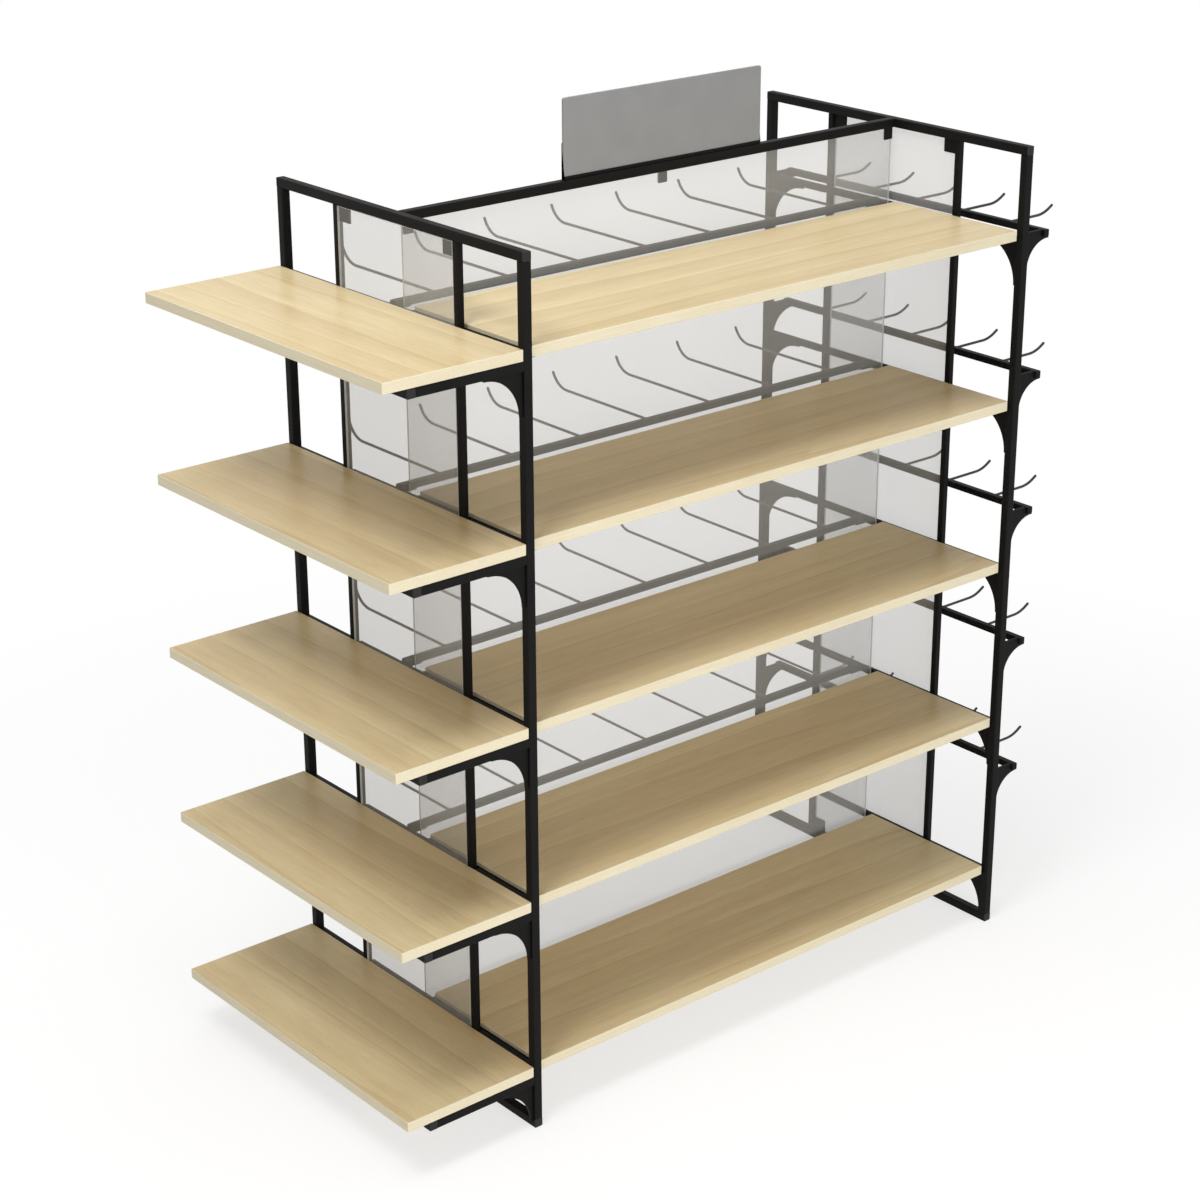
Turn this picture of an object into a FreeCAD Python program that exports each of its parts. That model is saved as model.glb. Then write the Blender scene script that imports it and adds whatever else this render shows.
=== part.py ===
import FreeCAD, Part

import math
import os

import Sketcher

# Gondola shelving for a shop floor. Two welded end frames of square tube stand on the floor and are
# joined by a centre rail at the top and one at the bottom. Long boards fill the front, short boards
# the left end, and bars with wire hooks hang at the right end and behind the frosted centre sheet.
# X runs along the length, Y from front to back and Z upwards. The origin is on the floor, at the
# middle of the frame. All sizes are in millimetres.

DIMENSIONS = (
    ("frame_length", 1120, "length over the two end frames"),
    ("frame_depth", 650, "depth of an end frame, front to back"),
    ("frame_height", 1500, "height of an end frame"),
    ("tube_size", 16, "side of the square frame tube"),
    ("tube_wall", 1.5, "wall of every tube"),
    ("tube_corner", 1.5, "flat across the outer corners of the tubes"),
    ("inner_tube_size", 12, "side of the thinner tube of inner uprights and crossbars"),
    ("inner_tube_offset", 158.5, "middle of the frame to an inner upright's axis"),
    ("cap_thickness", 1.5, "plate of a tube end cap"),
    ("cap_plug_length", 8, "length of the cap's plug inside the tube"),
    ("plug_clearance", 0.2, "gap between a plug and the tube's inside"),
    ("level_count", 5, "board levels"),
    ("lowest_board", 100, "floor to the underside of the lowest boards"),
    ("top_board_drop", 166, "top of the frame to the underside of the top boards"),
    ("board_thickness", 18, "thickness of every board"),
    ("front_board_depth", 293, "depth of the front boards"),
    ("front_board_reach", 6, "front boards' edge ahead of the uprights' inner faces"),
    ("end_board_depth", 258, "depth of the end boards"),
    ("board_chamfer", 1, "broken edge of the boards"),
    ("board_gap", 1, "gap between a board and the tube beside it"),
    ("ledge_thickness", 3, "thickness of the angles that carry the front boards"),
    ("ledge_width", 18, "width of an angle's flat leg"),
    ("plate_thickness", 6, "thickness of gussets and hook brackets"),
    ("plate_land", 4, "straight land at both ends of a curved plate edge"),
    ("frame_gusset_radius", 78, "hollow curve of the gussets under the crossbars"),
    ("arm_reach", 216, "length of an end board's arms"),
    ("arm_gusset_radius", 68, "hollow curve of the gussets under the arms"),
    ("hook_bar_size", 12, "side of the solid hook bars"),
    ("hook_bar_corner", 0.8, "flat across the corners of the hook bars"),
    ("bar_clearance", 0.3, "gap on each side of a bar in its seat"),
    ("end_bar_offset", 46, "face of the end frame to an end hook bar's axis"),
    ("end_bar_count", 5, "end hook bars"),
    ("end_bar_lowest", 304.5, "floor to the lowest end bar's seat"),
    ("top_end_bar_drop", 166, "top of the frame to the top end bar's seat"),
    ("bracket_radius", 50, "hollow curve of the hook brackets"),
    ("bracket_floor", 5, "metal under a bracket's notch"),
    ("bracket_notch", 8, "height of the lip above a bracket's notch"),
    ("bracket_back", 12, "height of a bracket's inner side above its notch"),
    ("bracket_lip", 5, "metal outside a bracket's notch"),
    ("back_bar_count", 4, "back hook bars, at the upper board levels"),
    ("back_bar_offset", 30, "middle of the frame to a back hook bar's axis"),
    ("back_bar_lift", 5, "underside of the boards to a back hook bar's seat"),
    ("saddle_wall", 2, "sheet of the saddles under the back bars"),
    ("saddle_depth", 10, "height of a saddle's cheeks above its floor"),
    ("saddle_length", 30, "length of a saddle along the bar"),
    ("wire_size", 5, "thickness of the hook wire"),
    ("end_hook_straight", 78, "straight run of an end hook"),
    ("end_hook_reach", 32, "length of an end hook's upturn"),
    ("end_hook_rise", 9, "height of an end hook's upturn"),
    ("end_hook_tip", 10, "straight tip of an end hook"),
    ("end_hook_count", 5, "hooks on an end bar"),
    ("end_hook_pitch", 114, "distance between end hooks"),
    ("back_hook_straight", 226, "straight run of a back hook"),
    ("back_hook_reach", 36, "length of a back hook's upturn"),
    ("back_hook_rise", 21, "height of a back hook's upturn"),
    ("back_hook_tip", 8, "straight tip of a back hook"),
    ("back_hook_count", 7, "hooks on a back bar"),
    ("back_hook_pitch", 150, "distance between back hooks"),
    ("sheet_thickness", 4, "thickness of the frosted sheets"),
    ("sheet_gap", 0.5, "gap between a sheet's edge and the tube beside it"),
    ("clip_width", 20, "width of a centre sheet clip"),
    ("clip_height", 21, "height of a centre sheet clip"),
    ("clip_thickness", 3, "thickness of clips and corner tabs"),
    ("tab_width", 30, "width of an end sheet's corner tabs"),
    ("tab_height", 26, "height of a corner tab on the sheet"),
    ("header_width", 436, "length of the header board"),
    ("header_height", 132.5, "height of the header board"),
    ("header_thickness", 5, "thickness of the header board"),
    ("header_corner", 4, "radius of the header board's top corners"),
    ("holder_wall", 1.5, "sheet of the folded header holder"),
    ("holder_lip", 4.5, "height of the holder's front lip"),
    ("holder_back", 60, "height of the holder's back"),
    ("holder_clearance", 0.3, "gap on each side of the header board in its holder"),
)

PLANE_OF_AXIS = {"X": "YZ_Plane", "Y": "XZ_Plane", "Z": "XY_Plane"}

doc = FreeCAD.newDocument("gondola_shelving")
sheet = doc.addObject("Spreadsheet::Sheet", "dims")


class Size:
    """A length that carries its value together with the sheet expression that gives it."""

    def __init__(self, value, text):
        self.value = value
        self.text = text

    @staticmethod
    def of(other):
        return other if isinstance(other, Size) else Size(other, repr(other))

    def __add__(self, other):
        other = Size.of(other)
        return Size(self.value + other.value, "(%s + %s)" % (self.text, other.text))

    def __sub__(self, other):
        other = Size.of(other)
        return Size(self.value - other.value, "(%s - %s)" % (self.text, other.text))

    def __mul__(self, other):
        other = Size.of(other)
        return Size(self.value * other.value, "(%s * %s)" % (self.text, other.text))

    def __truediv__(self, other):
        other = Size.of(other)
        return Size(self.value / other.value, "(%s / %s)" % (self.text, other.text))

    def __neg__(self):
        return Size(-self.value, "(0 - %s)" % self.text)


def fill_sheet():
    """Writes the driving dimensions into the sheet and returns them as sizes by name."""
    sizes = {}
    for row, (name, value, note) in enumerate(DIMENSIONS, start=1):
        sheet.set("A%d" % row, name)
        sheet.set("B%d" % row, str(value))
        sheet.set("C%d" % row, note)
        sheet.setAlias("B%d" % row, name)
        sizes[name] = Size(float(value), "dims.%s" % name)
    doc.recompute()
    return sizes


s = fill_sheet()
ZERO = Size(0.0, "0")


def origin_of(body):
    return {feature.Role: feature for feature in body.Origin.OriginFeatures}


def new_body(label, place):
    """A body that may hold several solids, with its origin at the given place."""
    body = doc.addObject("PartDesign::Body", label)
    body.Label = label
    body.AllowCompound = True
    for axis, size in zip("xyz", place):
        body.setExpression("Placement.Base.%s" % axis, size.text)
    return body


def bind(sketch, constraint, name, size):
    """Adds a constraint under a name and ties it to the sheet."""
    index = sketch.addConstraint(constraint)
    sketch.renameConstraint(index, name)
    sketch.setExpression("Constraints.%s" % name, size.text)


def add_outline(sketch, corners, tag, closed=True):
    """Draws straight and round edges from corner to corner.

    A corner is (x, y), or (x, y, radius, centre) where the edge that starts there is an arc.
    """
    count = len(corners)
    edges = count if closed else count - 1
    ends = []
    for i in range(edges):
        start = corners[i]
        stop = corners[(i + 1) % count]
        first = FreeCAD.Vector(start[0].value, start[1].value, 0)
        last = FreeCAD.Vector(stop[0].value, stop[1].value, 0)
        if len(start) == 2:
            ends.append((sketch.addGeometry(Part.LineSegment(first, last)), 1, 2))
            continue
        centre = FreeCAD.Vector(start[3][0].value, start[3][1].value, 0)
        circle = Part.Circle(centre, FreeCAD.Vector(0, 0, 1), start[2].value)
        turn = (first - centre).cross(last - centre).z
        a, b = (first, last) if turn > 0 else (last, first)
        arc = Part.ArcOfCircle(circle, circle.parameter(a), circle.parameter(b))
        edge = sketch.addGeometry(arc)
        ends.append((edge, 1, 2) if turn > 0 else (edge, 2, 1))
    for i in range(edges if closed else edges - 1):
        edge, _, end = ends[i]
        following, begin, _ = ends[(i + 1) % edges]
        sketch.addConstraint(Sketcher.Constraint("Coincident", edge, end, following, begin))
    for i in range(count):
        edge, begin, end = ends[min(i, edges - 1)]
        point = begin if i < edges else end
        for axis, size in zip("XY", corners[i][:2]):
            constraint = Sketcher.Constraint("Distance" + axis, -1, 1, edge, point, size.value)
            bind(sketch, constraint, "%s%d%s" % (tag, i, axis.lower()), size)
        if len(corners[i]) > 2:
            constraint = Sketcher.Constraint("Radius", edge, corners[i][2].value)
            bind(sketch, constraint, "%s%dr" % (tag, i), corners[i][2])


def new_sketch(body, plane, outlines, lift=None, closed=True):
    """A sketch on one of the body's own planes, lifted along the plane's normal."""
    sketch = body.newObject("Sketcher::SketchObject", body.Label + "_sketch")
    sketch.AttachmentSupport = [(origin_of(body)[plane], "")]
    sketch.MapMode = "FlatFace"
    if lift is not None:
        sketch.setExpression("AttachmentOffset.Base.z", lift.text)
    for tag, corners in zip("abc", outlines):
        add_outline(sketch, corners, tag, closed)
    return sketch


def pad(body, sketch, length):
    """Pads a sketch by half the length to each side."""
    feature = body.newObject("PartDesign::Pad", body.Label + "_pad")
    feature.Profile = sketch
    feature.SideType = "Symmetric"
    feature.setExpression("Length", length.text)
    body.Tip = feature
    return feature


def repeat(body, *steps):
    """Copies all of the body along one axis after another; a step is (axis, distance, count)."""
    for axis, distance, count in steps:
        doc.recompute()
        feature = body.newObject("PartDesign::LinearPattern", body.Label + "_pattern")
        feature.TransformMode = "Whole shape"
        feature.Direction = (origin_of(body)[axis + "_Axis"], [""])
        feature.Mode = "Spacing"
        feature.setExpression("Offset", distance.text)
        feature.setExpression("Occurrences", count.text)
        body.Tip = feature


def mirror(body, plane):
    """Adds the mirror image of all of the body."""
    doc.recompute()
    feature = body.newObject("PartDesign::Mirrored", body.Label + "_mirror")
    feature.TransformMode = "Whole shape"
    feature.MirrorPlane = (origin_of(body)[plane], [""])
    body.Tip = feature


def rectangle(width, height, x=ZERO, y=ZERO):
    """Corners of a rectangle round the point x, y."""
    left, right = x - width / 2, x + width / 2
    low, high = y - height / 2, y + height / 2
    return [(left, low), (right, low), (right, high), (left, high)]


def cut_rectangle(width, height, cut):
    """Corners of a rectangle round the origin, with a small flat across each corner."""
    x, y = width / 2, height / 2
    a, b = x - cut, y - cut
    return [(-a, -y), (a, -y), (x, -b), (x, b), (a, y), (-a, y), (-x, b), (-x, -b)]


def tube_section(side):
    """Outer and inner outline of a square tube."""
    inside = side - s["tube_wall"] * 2
    return [cut_rectangle(side, side, s["tube_corner"]), rectangle(inside, inside)]


def tube(label, axis, side, length, place):
    """A straight square tube along an axis, round its middle point."""
    body = new_body(label, place)
    pad(body, new_sketch(body, PLANE_OF_AXIS[axis], tube_section(side)), length)
    return body


def box(label, size, place):
    """A rectangular plate or bar round its middle point."""
    body = new_body(label, place)
    pad(body, new_sketch(body, "XY_Plane", [rectangle(size[0], size[1])]), size[2])
    return body


def gusset_outline(radius, x, y, side):
    """A corner plate below the point x, y, with a hollow quarter circle for its free edge."""
    land = s["plate_land"]
    reach = radius + land
    far, near = (x + reach, x + land) if side > 0 else (x - reach, x - land)
    return [
        (x, y), (far, y), (far, y - land, radius, (far, y - reach)),
        (near, y - reach), (x, y - reach),
    ]


# Sizes that several pieces share.
half_length = s["frame_length"] / 2
half_depth = s["frame_depth"] / 2
tube_size = s["tube_size"]
tube_axis_x = half_length - tube_size / 2
tube_axis_y = half_depth - tube_size / 2
top_axis_z = s["frame_height"] - tube_size / 2
low_axis_z = tube_size / 2
middle_z = s["frame_height"] / 2
clear_height = s["frame_height"] - tube_size * 2
inside_x = half_length - tube_size
inside_y = half_depth - tube_size
inner_face_y = s["inner_tube_offset"] - s["inner_tube_size"] / 2
crossbar_x = inside_x + s["inner_tube_size"] / 2
two = Size(2, "2")
top_board = s["frame_height"] - s["top_board_drop"]
board_pitch = (top_board - s["lowest_board"]) / (s["level_count"] - 1)
top_end_bar = s["frame_height"] - s["top_end_bar_drop"]
end_bar_pitch = (top_end_bar - s["end_bar_lowest"]) / (s["end_bar_count"] - 1)
rail_tube_length = s["frame_depth"] - s["cap_thickness"] * 2
arm_rail_x = -(half_length + s["arm_reach"] - tube_size / 2)
end_bar_x = half_length + s["end_bar_offset"]
parts = []


def board_underside(level):
    """Height of a board's underside; level 1 is the top one."""
    return s["lowest_board"] + board_pitch * (s["level_count"] - level)


def end_frames():
    """Outer and inner uprights, top rails and bottom rails of the two end frames."""
    for side, sign in (("left", -1), ("right", 1)):
        for face, depth_sign in (("front", -1), ("back", 1)):
            place = (tube_axis_x * sign, tube_axis_y * depth_sign, middle_z)
            parts.append(tube("%s_%s_upright" % (side, face), "Z", tube_size, clear_height, place))
        inner = s["inner_tube_size"]
        place = ((half_length - inner / 2) * sign, -s["inner_tube_offset"], middle_z)
        body = tube(side + "_inner_uprights", "Z", inner, clear_height, place)
        repeat(body, ("Y", s["inner_tube_offset"] * 2, two))
        parts.append(body)
        for level, height in (("top", top_axis_z), ("bottom", low_axis_z)):
            place = (tube_axis_x * sign, ZERO, height)
            parts.append(tube("%s_%s_rail" % (side, level), "Y", tube_size, rail_tube_length, place))


def centre_rails():
    """Rails along the middle that join the end frames at the top and the bottom."""
    for level, height in (("top", top_axis_z), ("bottom", low_axis_z)):
        place = (ZERO, ZERO, height)
        parts.append(tube("centre_%s_rail" % level, "X", tube_size, inside_x * 2, place))


def end_caps(label, place, *steps):
    """Caps on the front and back ends of a group of rails."""
    body = new_body(label, place)
    thickness = s["cap_thickness"]
    plate = [cut_rectangle(tube_size, tube_size, s["tube_corner"])]
    pad(body, new_sketch(body, "XZ_Plane", plate, half_depth - thickness / 2), thickness)
    side = tube_size - (s["tube_wall"] + s["plug_clearance"]) * 2
    length = s["cap_plug_length"]
    plug = [rectangle(side, side)]
    pad(body, new_sketch(body, "XZ_Plane", plug, half_depth - thickness - length / 2), length)
    mirror(body, "XZ_Plane")
    repeat(body, *steps)
    parts.append(body)


def crossbars():
    """Crossbars at each board level, cut in three between the uprights, with their gussets and ledges."""
    side = s["inner_tube_size"]
    levels = ("Z", board_pitch, s["level_count"])
    both = ("X", crossbar_x * 2, two)
    body = new_body("crossbars", (-crossbar_x, ZERO, s["lowest_board"] + side / 2))
    pad(body, new_sketch(body, "XZ_Plane", tube_section(side)), inner_face_y * 2)
    outer = inner_face_y + side
    for sign in (-1, 1):
        middle = (inside_y + outer) / 2
        pad(body, new_sketch(body, "XZ_Plane", tube_section(side), middle * sign), inside_y - outer)
    repeat(body, both, levels)
    parts.append(body)

    body = new_body("frame_gussets", (-crossbar_x, ZERO, s["lowest_board"]))
    plate = gusset_outline(s["frame_gusset_radius"], -inside_y, ZERO, 1)
    pad(body, new_sketch(body, "YZ_Plane", [plate]), s["plate_thickness"])
    mirror(body, "XZ_Plane")
    repeat(body, both, levels)
    parts.append(body)

    # The angle's upright leg is against the crossbar and its flat leg under the board's end.
    length = s["front_board_depth"] - s["front_board_reach"]
    body = new_body("shelf_ledges", (ZERO, length / 2 - inside_y, s["lowest_board"]))
    thickness = s["ledge_thickness"]
    near = inside_x - thickness
    far = inside_x - s["ledge_width"]
    angle = [
        (far, -thickness), (inside_x, -thickness), (inside_x, side),
        (near, side), (near, ZERO), (far, ZERO),
    ]
    pad(body, new_sketch(body, "XZ_Plane", [angle]), length)
    mirror(body, "YZ_Plane")
    repeat(body, levels)
    parts.append(body)


def end_board_arms():
    """Arms, outer arm rails and gussets that carry the end boards."""
    levels = ("Z", board_pitch, s["level_count"])
    both = ("Y", tube_axis_y * 2, two)
    arm_z = s["lowest_board"] - tube_size / 2
    length = s["arm_reach"] - tube_size
    place = (-(half_length + length / 2), -tube_axis_y, arm_z)
    body = tube("end_arms", "X", tube_size, length, place)
    repeat(body, both, levels)
    parts.append(body)

    place = (arm_rail_x, ZERO, arm_z)
    body = tube("end_arm_rails", "Y", tube_size, rail_tube_length, place)
    repeat(body, levels)
    parts.append(body)
    end_caps("arm_rail_caps", place, levels)

    body = new_body("end_arm_gussets", (-half_length, -tube_axis_y, s["lowest_board"] - tube_size))
    plate = gusset_outline(s["arm_gusset_radius"], ZERO, ZERO, -1)
    pad(body, new_sketch(body, "XZ_Plane", [plate]), s["plate_thickness"])
    repeat(body, both, levels)
    parts.append(body)


def hook_brackets():
    """Curved brackets on the right end frame, with an open notch for the hook bar."""
    body = new_body("hook_brackets", (half_length, -tube_axis_y, s["end_bar_lowest"]))
    half_notch = s["hook_bar_size"] / 2 + s["bar_clearance"]
    near = s["end_bar_offset"] - half_notch
    far = s["end_bar_offset"] + half_notch
    nose = far + s["bracket_lip"]
    back = s["bracket_back"]
    top = s["bracket_notch"]
    low = -s["bracket_floor"]
    land = s["plate_land"]
    radius = s["bracket_radius"]
    plate = [
        (ZERO, back), (near, back), (near, ZERO), (far, ZERO), (far, top), (nose, top), (nose, low),
        (radius + land, low, radius, (radius + land, low - radius)), (land, low - radius),
        (land, low - radius - land), (ZERO, low - radius - land),
    ]
    pad(body, new_sketch(body, "XZ_Plane", [plate]), s["plate_thickness"])
    repeat(body, ("Y", tube_axis_y * 2, two), ("Z", end_bar_pitch, s["end_bar_count"]))
    parts.append(body)


def back_bar_seat(level):
    """Height of a back hook bar's underside; level 1 is the top one."""
    return board_underside(level) + s["back_bar_lift"]


def back_bar_saddles():
    """Folded saddles on the crossbars that hold the ends of the back hook bars."""
    saddle_x = inside_x - s["saddle_length"] / 2
    lowest = back_bar_seat(s["back_bar_count"])
    body = new_body("back_bar_saddles", (-saddle_x, s["back_bar_offset"], lowest))
    inner = s["hook_bar_size"] / 2 + s["bar_clearance"]
    outer = inner + s["saddle_wall"]
    top = s["saddle_depth"]
    base = -s["saddle_wall"]
    outline = [
        (-outer, base), (outer, base), (outer, top), (inner, top),
        (inner, ZERO), (-inner, ZERO), (-inner, top), (-outer, top),
    ]
    pad(body, new_sketch(body, "YZ_Plane", [outline]), s["saddle_length"])
    repeat(body, ("X", saddle_x * 2, two), ("Z", board_pitch, s["back_bar_count"]))
    parts.append(body)


def boards():
    """Front boards on their ledges and end boards on their arms, with broken edges."""
    gap = s["board_gap"]
    thickness = s["board_thickness"]
    front_size = ((inside_x - s["ledge_thickness"] - gap) * 2, s["front_board_depth"], thickness)
    end_size = (s["end_board_depth"], s["frame_depth"], thickness)
    front_y = s["front_board_depth"] / 2 - inside_y - s["front_board_reach"]
    end_x = -(half_length + gap + s["end_board_depth"] / 2)
    for level in range(1, int(s["level_count"].value) + 1):
        z = board_underside(level) + thickness / 2
        for body in (
            box("front_shelf_%d" % level, front_size, (ZERO, front_y, z)),
            box("end_shelf_%d" % level, end_size, (end_x, ZERO, z)),
        ):
            doc.recompute()
            block = body.Tip
            names = ["Edge%d" % (i + 1) for i in range(len(block.Shape.Edges))]
            broken = body.newObject("PartDesign::Chamfer", body.Label + "_edges")
            broken.Base = (block, names)
            broken.setExpression("Size", s["board_chamfer"].text)
            body.Tip = broken
            parts.append(body)


def hook_bar(label, axis, length, place):
    """A solid square bar with broken edges."""
    body = new_body(label, place)
    side = s["hook_bar_size"]
    outline = cut_rectangle(side, side, s["hook_bar_corner"])
    pad(body, new_sketch(body, PLANE_OF_AXIS[axis], [outline]), length)
    parts.append(body)


def wire_outline():
    """A six-sided wire with a flat underneath."""
    half = s["wire_size"] / 2
    corner = s["wire_size"] / round(math.sqrt(3), 6)
    return [
        (-corner / 2, -half), (corner / 2, -half), (corner, ZERO),
        (corner / 2, half), (-corner / 2, half), (-corner, ZERO),
    ]


def hooks(label, kind, way, along, place):
    """Upturned wire hooks on a bar: straight run, round bend and tip, repeated along the bar.

    The bend is tangent to the straight run, so its reach and rise give its radius and last direction.
    """
    body = new_body(label, place)
    straight, reach, rise, tip, count, pitch = (
        s[kind + "_hook_" + name] for name in ("straight", "reach", "rise", "tip", "count", "pitch"))
    span = reach * reach + rise * rise
    radius = span / (rise * 2)
    cosine = (reach * reach - rise * rise) / span
    sine = reach * rise * 2 / span
    route = [
        (ZERO, ZERO), (straight, ZERO, radius, (straight, radius)), (straight + reach, rise),
        (straight + reach + tip * cosine, rise + tip * sine),
    ]
    path_plane, wire_plane = ("XZ_Plane", "YZ_Plane") if way == "X" else ("YZ_Plane", "XZ_Plane")
    path = new_sketch(body, path_plane, [route], closed=False)
    wire = new_sketch(body, wire_plane, [wire_outline()])
    doc.recompute()
    pipe = body.newObject("PartDesign::AdditivePipe", label + "_wire")
    pipe.Profile = wire
    pipe.Spine = (path, ["Edge1", "Edge2", "Edge3"])
    body.Tip = pipe
    repeat(body, (along, pitch, count))
    parts.append(body)


def end_hook_bars():
    """Bars in the notches of the right end's brackets, with hooks on their outer faces."""
    half = s["hook_bar_size"] / 2
    first_hook = -(s["end_hook_pitch"] * (s["end_hook_count"] - 1) / 2)
    for level in range(1, int(s["end_bar_count"].value) + 1):
        axis_z = s["end_bar_lowest"] + end_bar_pitch * (s["end_bar_count"] - level) + half
        hook_bar("end_hook_bar_%d" % level, "Y", s["frame_depth"], (end_bar_x, ZERO, axis_z))
        hooks("end_hooks_%d" % level, "end", "X", "Y", (end_bar_x + half, first_hook, axis_z))


def back_hook_bars():
    """Bars in the saddles behind the centre sheet, with hooks on their back faces."""
    half = s["hook_bar_size"] / 2
    length = (inside_x - s["bar_clearance"]) * 2
    axis_y = s["back_bar_offset"]
    first_hook = -(s["back_hook_pitch"] * (s["back_hook_count"] - 1) / 2)
    for level in range(1, int(s["back_bar_count"].value) + 1):
        axis_z = back_bar_seat(level) + half
        hook_bar("back_hook_bar_%d" % level, "X", length, (ZERO, axis_y, axis_z))
        hooks("back_hooks_%d" % level, "back", "Y", "X", (first_hook, axis_y + half, axis_z))


def frosted_sheets():
    """The centre sheet with its clips, and a sheet with corner tabs in each end frame."""
    thickness = s["sheet_thickness"]
    gap = s["sheet_gap"]
    height = clear_height - gap
    z = tube_size + height / 2
    size = ((inside_x - gap) * 2, thickness, height)
    parts.append(box("centre_panel", size, (ZERO, ZERO, z)))
    size = (thickness, (inner_face_y - gap) * 2, height)
    for side, sign in (("left", -1), ("right", 1)):
        parts.append(box(side + "_end_panel", size, ((half_length - thickness / 2) * sign, ZERO, z)))

    # The outer clips stand in front of the centre sheet and the middle one behind it.
    body = new_body("centre_panel_clips", (ZERO, ZERO, middle_z))
    width = s["clip_width"]
    rise = (clear_height - s["clip_height"]) / 2
    away = (thickness + s["clip_thickness"]) / 2
    outer = inside_x - gap - width / 2
    pair = [rectangle(width, s["clip_height"], outer * sign, rise) for sign in (-1, 1)]
    pad(body, new_sketch(body, "XZ_Plane", pair, away), s["clip_thickness"])
    single = [rectangle(width, s["clip_height"], ZERO, rise)]
    pad(body, new_sketch(body, "XZ_Plane", single, -away), s["clip_thickness"])
    mirror(body, "XY_Plane")
    parts.append(body)

    # A tab inside each corner of an end sheet stands on the rail beside it.
    tab_x = half_length - thickness - s["clip_thickness"] / 2
    tab_y = inner_face_y - s["tab_width"] / 2
    rise = (clear_height - s["tab_height"]) / 2
    body = new_body("end_panel_tabs", (ZERO, ZERO, middle_z))
    tabs = [rectangle(s["tab_width"], s["tab_height"], tab_y * sign, rise) for sign in (-1, 1)]
    pad(body, new_sketch(body, "YZ_Plane", tabs, tab_x), s["clip_thickness"])
    mirror(body, "XY_Plane")
    mirror(body, "YZ_Plane")
    parts.append(body)


def header():
    """The header board and the folded holder that it stands in, on the centre top rail."""
    wall = s["holder_wall"]
    inner = s["header_thickness"] / 2 + s["holder_clearance"]
    outer = inner + wall
    body = new_body("header_holder", (ZERO, ZERO, s["frame_height"]))
    outline = [
        (-outer, ZERO), (outer, ZERO), (outer, s["holder_back"]), (inner, s["holder_back"]),
        (inner, wall), (-inner, wall), (-inner, wall + s["holder_lip"]), (-outer, wall + s["holder_lip"]),
    ]
    pad(body, new_sketch(body, "YZ_Plane", [outline]), s["header_width"])
    parts.append(body)

    body = new_body("header_board", (ZERO, ZERO, s["frame_height"] + wall))
    half = s["header_width"] / 2
    height = s["header_height"]
    corner = s["header_corner"]
    outline = [
        (-half, ZERO), (half, ZERO),
        (half, height - corner, corner, (half - corner, height - corner)), (half - corner, height),
        (corner - half, height, corner, (corner - half, height - corner)), (-half, height - corner),
    ]
    pad(body, new_sketch(body, "XZ_Plane", [outline]), s["header_thickness"])
    parts.append(body)


def check_document():
    """Stops if any feature failed or any piece has no valid shape."""
    doc.recompute()
    for item in doc.Objects:
        if "Invalid" in item.State or "Error" in item.State:
            raise RuntimeError("%s is %s" % (item.Label, item.State))
    for body in parts:
        if body.Shape.isNull() or not body.Shape.isValid() or not body.Shape.Solids:
            raise RuntimeError(body.Label + " has no valid shape")


def export_parts():
    os.makedirs("parts", exist_ok=True)
    for body in parts:
        body.Shape.exportStep("parts/%s.step" % body.Label)


end_frames()
centre_rails()
end_caps("frame_rail_caps", (-tube_axis_x, ZERO, low_axis_z),
         ("X", tube_axis_x * 2, two), ("Z", top_axis_z - low_axis_z, two))
crossbars()
end_board_arms()
hook_brackets()
back_bar_saddles()
boards()
end_hook_bars()
back_hook_bars()
frosted_sheets()
header()
check_document()
export_parts()
print(len(parts), "pieces,", sum(len(body.Shape.Solids) for body in parts), "solids")
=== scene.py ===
import math

import bpy
import numpy as np
from mathutils import Matrix, Vector


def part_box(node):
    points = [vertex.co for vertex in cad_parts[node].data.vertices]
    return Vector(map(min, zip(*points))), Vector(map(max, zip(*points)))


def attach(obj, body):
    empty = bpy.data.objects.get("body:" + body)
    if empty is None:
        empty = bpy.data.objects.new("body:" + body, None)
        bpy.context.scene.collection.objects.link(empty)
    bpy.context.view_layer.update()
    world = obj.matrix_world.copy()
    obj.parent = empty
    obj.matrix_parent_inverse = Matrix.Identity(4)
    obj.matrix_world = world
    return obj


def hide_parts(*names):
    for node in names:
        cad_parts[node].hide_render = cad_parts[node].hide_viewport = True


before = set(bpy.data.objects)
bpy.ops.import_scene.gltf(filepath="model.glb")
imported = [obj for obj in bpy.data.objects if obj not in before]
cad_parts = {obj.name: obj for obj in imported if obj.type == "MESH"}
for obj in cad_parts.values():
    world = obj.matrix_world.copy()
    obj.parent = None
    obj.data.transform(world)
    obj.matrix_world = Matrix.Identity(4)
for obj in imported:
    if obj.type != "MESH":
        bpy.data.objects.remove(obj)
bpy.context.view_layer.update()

# Looks of the gondola shelving: rounded steel tube, round wire hooks, veneered boards with edge bands
# and frosted sheets, all placed from the frame. Lengths are in metres.

# Camera of the photograph, for a square picture of 1200 by 1200 pixels. Angles are in degrees.
PICTURE_SIDE = 1200
FOCAL_PIXELS = 2666.5
SENSOR = 36
CAMERA_PLACE = (-2.9225, -3.3205, 2.4760)
CAMERA_AZIMUTH = -39.933
CAMERA_ELEVATION = 21.790
CAMERA_ROLL = 0.202
VIEW_DEPTH = 100

# Soft boxes: name, place, target, side and watts.
SOFT_BOXES = (
    ("top", (-0.2, -0.1, 5.2), (-0.2, -0.1, 0), 2.6, 54),
    ("front", (-1.2, -5.2, 1.0), (0, 0, 0.8), 2.6, 136),
    ("side", (-2.6, -0.9, 5.0), (-0.4, 0, 0.8), 1.6, 90),
)
AMBIENT = 0.29

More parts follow.
